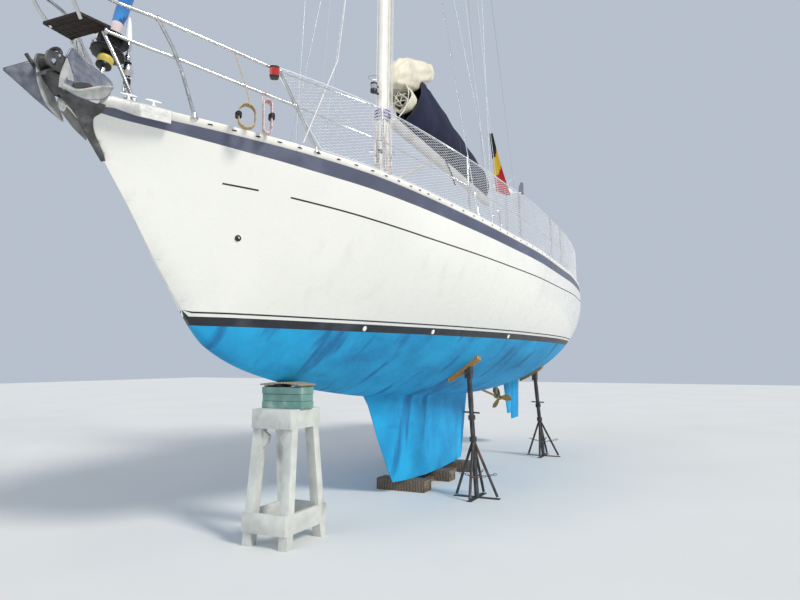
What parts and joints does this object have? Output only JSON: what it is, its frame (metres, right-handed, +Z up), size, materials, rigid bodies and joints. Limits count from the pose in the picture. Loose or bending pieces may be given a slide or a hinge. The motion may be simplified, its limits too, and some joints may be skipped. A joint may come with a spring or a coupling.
{
  "type": "sailing yacht",
  "caption": "Masthead sloop, fin keel and skeg rudder, standing ashore on blocks, bow trestle and side props; boom, steering, propeller, hatches and wind generator move.",
  "frame": {"origin": "centre of the bounding box, on the ground it stands on", "axes": "+X towards the bow, +Y to port, +Z up"},
  "size_m": [12.8022, 3.652, 19.347],
  "materials": {
    "gelcoat": "white gelcoat with a slate-blue sheer band",
    "deck_nonskid": "cream moulded non-skid",
    "white_capping": "white, slightly worn",
    "tinted_window": "dark tinted acrylic",
    "antifouling": "cyan antifouling paint, matt",
    "bronze": "worn bronze",
    "galvanised": "dull galvanised",
    "stainless": "polished stainless steel",
    "spar_white": "white painted alloy",
    "prop_steel": "dark paint over rusty steel",
    "black_plastic": "black moulding",
    "sail_blue": "blue sun strip on a rolled sail",
    "sail_cover_navy": "navy acrylic canvas",
    "plank_wood": "dark varnished planks",
    "white_plastic": "white moulding",
    "flag_cloth": "black, yellow and red bunting",
    "block_timber": "rough sawn timber",
    "trestle_paint": "grey-white painted timber, chipped"
  },
  "bodies": {
    "root": {"hull": "gelcoat", "deck": "deck_nonskid", "coachroof": "gelcoat", "cockpit_tub": "gelcoat", "toe_rail": "white_capping", "window_port": "tinted_window", "window_starboard": "tinted_window", "keel": "antifouling", "skeg": "antifouling", "shaft_and_bracket": "bronze", "bow_roller": "galvanised", "stem_plate": "galvanised", "anchor_starboard": "galvanised", "anchor_port": "galvanised", "pulpit": "stainless", "pulpit_seat": "plank_wood", "lifelines_port": "stainless", "lifelines_starboard": "stainless", "pushpit": "stainless", "mast": "spar_white", "spreader_port": "spar_white", "spreader_starboard": "spar_white", "cap_shroud_lower_port": "stainless", "cap_shroud_lower_starboard": "stainless", "cap_shroud_upper_port": "stainless", "cap_shroud_upper_starboard": "stainless", "fore_lower_shroud_port": "stainless", "fore_lower_shroud_starboard": "stainless", "aft_lower_shroud_port": "stainless", "aft_lower_shroud_starboard": "stainless", "backstay": "stainless", "forestay_head": "stainless", "pedestal": "white_plastic", "winch_port": "stainless", "winch_starboard": "stainless", "generator_pole": "stainless", "ensign": "flag_cloth", "keel_blocks": "block_timber", "bow_trestle": "trestle_paint", "bow_block": "block_timber", "prop_fore_port": "prop_steel", "prop_fore_starboard": "prop_steel", "prop_aft_port": "prop_steel", "prop_aft_starboard": "prop_steel"},
    "rudder": {"rudder": "antifouling"},
    "wheel": {"wheel": "stainless"},
    "propeller": {"propeller": "bronze"},
    "boom": {"boom": "spar_white", "sail_cover": "sail_cover_navy", "vang": "black_plastic"},
    "furler": {"furler_drum": "black_plastic", "furled_genoa": "sail_blue"},
    "generator": {"generator_body": "white_plastic"},
    "rotor": {"generator_rotor": "white_plastic"},
    "fore_hatch": {"fore_hatch": "tinted_window"},
    "mid_hatch": {"mid_hatch": "tinted_window"},
    "anchor_locker_lid": {"anchor_locker_lid": "gelcoat"},
    "locker_lid_port": {"locker_lid_port": "gelcoat"},
    "locker_lid_starboard": {"locker_lid_starboard": "gelcoat"},
    "companion_slide": {"companion_slide": "gelcoat"}
  },
  "joints": [
    {"name": "rudder_swing", "type": "hinge", "parent": "root", "child": "rudder", "pos_m": [-4.541, 0, 0.65], "axis": [0, 0, 1], "range_deg": [-35, 35]},
    {"name": "wheel_turn", "type": "hinge", "parent": "root", "child": "wheel", "pos_m": [-4.381, 0, 3.48], "axis": [1, 0, 0], "range_deg": [-280, 280]},
    {"name": "propeller_spin", "type": "hinge", "parent": "root", "child": "propeller", "pos_m": [-3.60887, 0, 1.01358], "axis": [-0.9842, 0, -0.1772], "continuous": true},
    {"name": "boom_swing", "type": "hinge", "parent": "root", "child": "boom", "pos_m": [1.194, 0, 4.95], "axis": [-0.0262, 0, 0.9997], "range_deg": [-60, 60]},
    {"name": "furler_spin", "type": "hinge", "parent": "root", "child": "furler", "pos_m": [5.799, 0, 3.71], "axis": [-0.2898, 0, 0.9571], "continuous": true},
    {"name": "generator_yaw", "type": "hinge", "parent": "root", "child": "generator", "pos_m": [-5.771, -0.42, 5.63], "axis": [0, 0, 1], "continuous": true},
    {"name": "rotor_spin", "type": "hinge", "parent": "generator", "child": "rotor", "pos_m": [-5.61693, -0.49184, 5.63], "axis": [0.9063, -0.4226, 0], "continuous": true},
    {"name": "fore_hatch_lift", "type": "hinge", "parent": "root", "child": "fore_hatch", "pos_m": [3.754, 0, 3.406], "axis": [0, 1, 0], "range_deg": [0, 100]},
    {"name": "mid_hatch_lift", "type": "hinge", "parent": "root", "child": "mid_hatch", "pos_m": [0.154, 0, 3.682], "axis": [0, 1, 0], "range_deg": [0, 100]},
    {"name": "anchor_locker_lift", "type": "hinge", "parent": "root", "child": "anchor_locker_lid", "pos_m": [5.154, 0, 3.484], "axis": [0, 1, 0], "range_deg": [0, 95]},
    {"name": "locker_lift_port", "type": "hinge", "parent": "root", "child": "locker_lid_port", "pos_m": [-3.651, 0.927, 3.036], "axis": [-1, 0, 0], "range_deg": [0, 80]},
    {"name": "locker_lift_starboard", "type": "hinge", "parent": "root", "child": "locker_lid_starboard", "pos_m": [-3.651, -0.927, 3.036], "axis": [1, 0, 0], "range_deg": [0, 80]},
    {"name": "companion_slide_forward", "type": "slide", "parent": "root", "child": "companion_slide", "axis": [1, 0, 0], "range_m": [0, 0.65]}
  ],
  "couplings": [
    {"joint": "wheel_turn", "follows": "rudder_swing", "ratio": 8}
  ]
}
